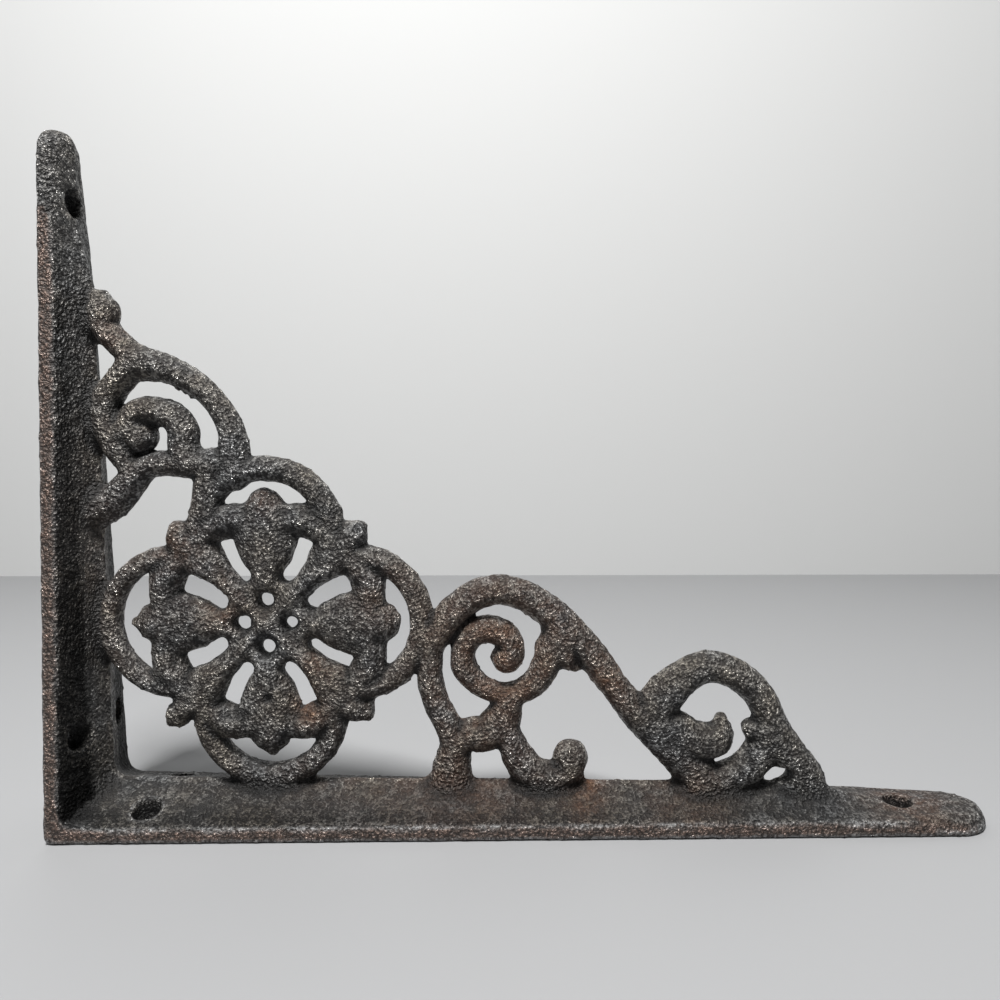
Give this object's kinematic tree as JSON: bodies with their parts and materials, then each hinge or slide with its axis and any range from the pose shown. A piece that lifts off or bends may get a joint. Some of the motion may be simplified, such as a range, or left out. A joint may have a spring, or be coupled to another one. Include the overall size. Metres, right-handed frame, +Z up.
{
  "type": "cast iron shelf bracket",
  "caption": "Cast iron L-shaped shelf bracket with an openwork rosette and scrolls, screwed to a wall and a shelf.",
  "frame": {"origin": "centre of the bounding box's base, on the flat underside of the long arm, midway along it", "axes": "+X along the long arm towards its tip, +Z up along the short arm, +Y through the openwork from front to back"},
  "size_m": [0.2032, 0.032, 0.1524],
  "materials": {
    "cast_iron": "raw sand-cast iron, dark grey-brown, granular, with a little rust"
  },
  "bodies": {
    "root": {"cast_bracket": "cast_iron"}
  },
  "joints": []
}
